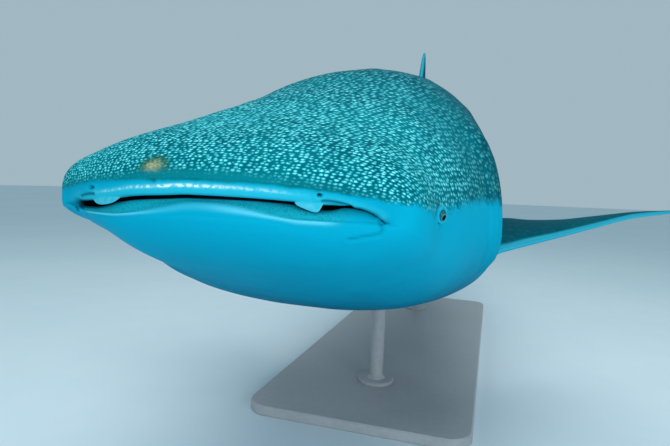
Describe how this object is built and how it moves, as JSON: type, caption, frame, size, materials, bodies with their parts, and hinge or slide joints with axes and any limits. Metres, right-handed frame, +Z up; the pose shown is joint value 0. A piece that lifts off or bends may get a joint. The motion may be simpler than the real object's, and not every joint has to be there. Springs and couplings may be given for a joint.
{
  "type": "whale shark display model",
  "caption": "Life-size whale shark in a straight swimming pose, mouth slightly open, held over a flat bevelled base by short rods.",
  "frame": {"origin": "centre of the overall box on the floor, under the underside of the stand's base", "axes": "+Z up, the head faces -Y, the shark's left side is +X, +Y runs to the tail"},
  "size_m": [3.744, 7.9962, 2.82],
  "materials": {
    "skin": "satin",
    "eye": "gloss",
    "stand": "satin"
  },
  "bodies": {
    "root": {"head": "skin", "lower_jaw": "skin", "gill_region": "skin", "trunk_front": "skin", "trunk_rear": "skin", "tail_stalk": "skin", "caudal_fin": "skin", "first_dorsal_fin": "skin", "second_dorsal_fin": "skin", "anal_fin": "skin", "pectoral_fin_left": "skin", "pelvic_fin_left": "skin", "nasal_flap_left": "skin", "pectoral_fin_right": "skin", "pelvic_fin_right": "skin", "nasal_flap_right": "skin", "eye_left": "eye", "eye_right": "eye", "stand_base": "stand", "stand_rod_front": "stand", "stand_rod_rear": "stand"}
  },
  "joints": []
}
